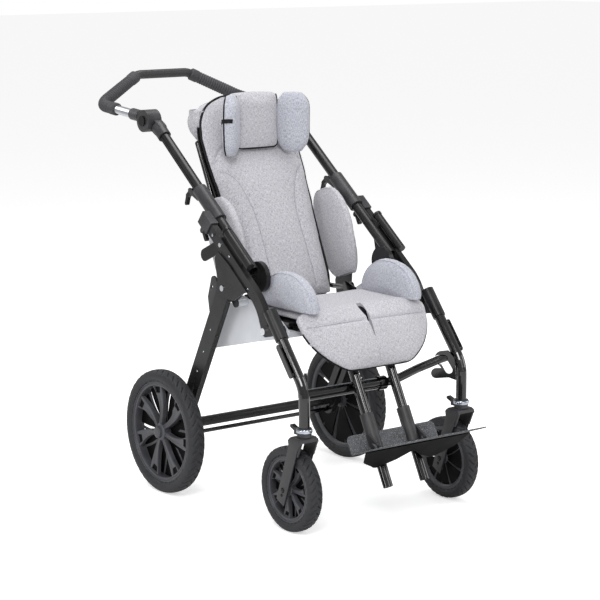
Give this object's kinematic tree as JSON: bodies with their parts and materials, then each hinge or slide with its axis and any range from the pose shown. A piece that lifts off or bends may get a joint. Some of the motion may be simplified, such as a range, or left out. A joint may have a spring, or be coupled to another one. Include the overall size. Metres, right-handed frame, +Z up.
{
  "type": "special needs buggy",
  "caption": "Folding push buggy for a disabled child: padded seat with thorax pads and winged headrest, footrest, swivelling front casters, larger rear wheels and a bent push handle.",
  "frame": {"origin": "on the floor, at the middle of the bounding box seen from above", "axes": "+Z up; -Y is the way the occupant faces and the buggy rolls forward; +X is the occupant's left"},
  "size_m": [0.602, 1.1278, 0.9879],
  "materials": {
    "frame_paint": "semi-gloss anthracite powder coat",
    "black_paint": "gloss black paint",
    "silver_paint": "satin silver",
    "bright_metal": "polished",
    "grey_plastic": "fine texture, dark grey",
    "black_plastic": "smooth black",
    "tyre_grey": "matt dark grey",
    "grip_foam": "ribbed, matt dark grey",
    "upholstery": "light grey melange weave",
    "webbing": "black woven strap"
  },
  "bodies": {
    "frame": {"side_tubes": "frame_paint", "front_legs": "black_paint", "leg_sockets": "frame_paint", "caster_collars": "grey_plastic", "cross_sleeve": "black_paint", "cross_tube": "black_paint", "hinge_plates": "frame_paint", "hinge_bolts": "bright_metal", "frame_bolts": "bright_metal", "clamp_sleeves": "grey_plastic", "tie_down_brackets": "black_paint", "leg_guards": "black_paint", "bar_sockets": "frame_paint", "seat_pan": "silver_paint", "seat_base": "black_paint", "ear_plates": "grey_plastic", "seat_hinges": "black_paint", "seat_cushion": "upholstery", "hip_pads": "upholstery", "footrest_tubes": "black_paint"},
    "rear_frame": {"rear_legs": "frame_paint", "rear_axle": "frame_paint"},
    "brake": {"brake_bar": "black_paint", "brake_pedal": "black_plastic"},
    "rear_wheel_left": {"rear_rim_left": "grey_plastic", "rear_tyre_left": "tyre_grey"},
    "rear_wheel_right": {"rear_rim_right": "grey_plastic", "rear_tyre_right": "tyre_grey"},
    "caster_left": {"fork_left": "grey_plastic"},
    "caster_right": {"fork_right": "grey_plastic"},
    "front_wheel_left": {"front_rim_left": "grey_plastic", "front_tyre_left": "tyre_grey"},
    "front_wheel_right": {"front_rim_right": "grey_plastic", "front_tyre_right": "tyre_grey"},
    "swivel_lock_left": {"swivel_lock_left": "black_plastic"},
    "swivel_lock_right": {"swivel_lock_right": "black_plastic"},
    "push_frame": {"push_tubes": "frame_paint", "joint_housings": "grey_plastic"},
    "handle": {"handle_hubs": "grey_plastic", "handle_bar": "bright_metal", "handle_grips": "grip_foam"},
    "button_left": {"handle_button_left": "black_plastic"},
    "button_right": {"handle_button_right": "black_plastic"},
    "clamp_lever_left": {"clamp_lever_left": "black_plastic"},
    "clamp_lever_right": {"clamp_lever_right": "black_plastic"},
    "release": {"release_levers": "black_plastic"},
    "back": {"back_frame": "black_paint", "back_shell": "black_plastic", "back_cushion": "upholstery"},
    "headrest": {"headrest_stem": "webbing", "headrest_pad": "upholstery"},
    "thorax_pad_left": {"lateral_bracket_left": "black_paint", "lateral_pad_left": "upholstery"},
    "thorax_pad_right": {"lateral_bracket_right": "black_paint", "lateral_pad_right": "upholstery"},
    "footrest": {"footrest_clamps": "grey_plastic"},
    "foot_board": {"foot_plate": "black_paint", "plate_bracket": "black_paint"}
  },
  "joints": [
    {"name": "rear_frame_fold", "type": "hinge", "parent": "frame", "child": "rear_frame", "pos_m": [0, -0.05708, 0.5218], "axis": [-1, 0, 0], "range_deg": [0, 45]},
    {"name": "brake_pedal_turn", "type": "hinge", "parent": "rear_frame", "child": "brake", "pos_m": [0, 0.13003, 0.136], "axis": [-1, 0, 0], "range_deg": [0, 25]},
    {"name": "rear_wheel_left_spin", "type": "hinge", "parent": "rear_frame", "child": "rear_wheel_left", "pos_m": [0.2765, 0.13953, 0.15], "axis": [1, 0, 0], "continuous": true},
    {"name": "rear_wheel_right_spin", "type": "hinge", "parent": "rear_frame", "child": "rear_wheel_right", "pos_m": [-0.2765, 0.13953, 0.15], "axis": [1, 0, 0], "continuous": true},
    {"name": "caster_left_swivel", "type": "hinge", "parent": "frame", "child": "caster_left", "pos_m": [0.2315, -0.35988, 0.24], "axis": [0, 0, 1], "continuous": true},
    {"name": "caster_right_swivel", "type": "hinge", "parent": "frame", "child": "caster_right", "pos_m": [-0.2315, -0.35988, 0.24], "axis": [0, 0, 1], "continuous": true},
    {"name": "front_wheel_left_spin", "type": "hinge", "parent": "caster_left", "child": "front_wheel_left", "pos_m": [0.2315, -0.31148, 0.098], "axis": [1, 0, 0], "continuous": true},
    {"name": "front_wheel_right_spin", "type": "hinge", "parent": "caster_right", "child": "front_wheel_right", "pos_m": [-0.2315, -0.31148, 0.098], "axis": [1, 0, 0], "continuous": true},
    {"name": "swivel_lock_left_lift", "type": "hinge", "parent": "frame", "child": "swivel_lock_left", "pos_m": [0.2315, -0.33587, 0.238], "axis": [1, 0, 0], "range_deg": [0, 30]},
    {"name": "swivel_lock_right_lift", "type": "hinge", "parent": "frame", "child": "swivel_lock_right", "pos_m": [-0.2315, -0.33587, 0.238], "axis": [1, 0, 0], "range_deg": [0, 30]},
    {"name": "push_height", "type": "slide", "parent": "frame", "child": "push_frame", "axis": [0, 0.7912, 0.6115], "range_m": [-0.08, 0.04]},
    {"name": "handle_angle", "type": "hinge", "parent": "push_frame", "child": "handle", "pos_m": [0, 0.28829, 0.88455], "axis": [1, 0, 0], "range_deg": [-60, 60]},
    {"name": "button_left_press", "type": "slide", "parent": "handle", "child": "button_left", "axis": [-1, 0, 0], "range_m": [0, 0.004], "stiffness_N_per_m": 300, "springref_m": -0.002},
    {"name": "button_right_press", "type": "slide", "parent": "handle", "child": "button_right", "axis": [1, 0, 0], "range_m": [0, 0.004], "stiffness_N_per_m": 300, "springref_m": -0.002},
    {"name": "clamp_lever_left_turn", "type": "hinge", "parent": "frame", "child": "clamp_lever_left", "pos_m": [0.2035, 0.11701, 0.73005], "axis": [1, 0, 0], "range_deg": [0, 60]},
    {"name": "clamp_lever_right_turn", "type": "hinge", "parent": "frame", "child": "clamp_lever_right", "pos_m": [-0.2035, 0.11701, 0.73005], "axis": [1, 0, 0], "range_deg": [0, 60]},
    {"name": "release_turn", "type": "hinge", "parent": "frame", "child": "release", "pos_m": [0, 0.03178, 0.64623], "axis": [1, 0, 0], "range_deg": [0, 35], "stiffness_Nm_per_rad": 0.3, "springref_deg": -8.59},
    {"name": "back_recline", "type": "hinge", "parent": "frame", "child": "back", "pos_m": [0, -0.02898, 0.48], "axis": [-1, 0, 0], "range_deg": [-20, 25]},
    {"name": "headrest_height", "type": "slide", "parent": "back", "child": "headrest", "axis": [0, 0.4384, 0.8988], "range_m": [0, 0.04]},
    {"name": "thorax_pad_left_width", "type": "slide", "parent": "back", "child": "thorax_pad_left", "axis": [1, 0, 0], "range_m": [-0.008, 0.004]},
    {"name": "thorax_pad_right_width", "type": "slide", "parent": "back", "child": "thorax_pad_right", "axis": [-1, 0, 0], "range_m": [-0.008, 0.004]},
    {"name": "footrest_height", "type": "slide", "parent": "frame", "child": "footrest", "axis": [0, 0.4602, 0.8878], "range_m": [-0.06, 0.06]},
    {"name": "foot_board_flip", "type": "hinge", "parent": "footrest", "child": "foot_board", "pos_m": [0, -0.4129, 0.19331], "axis": [-1, 0, 0], "range_deg": [0, 70]}
  ]
}
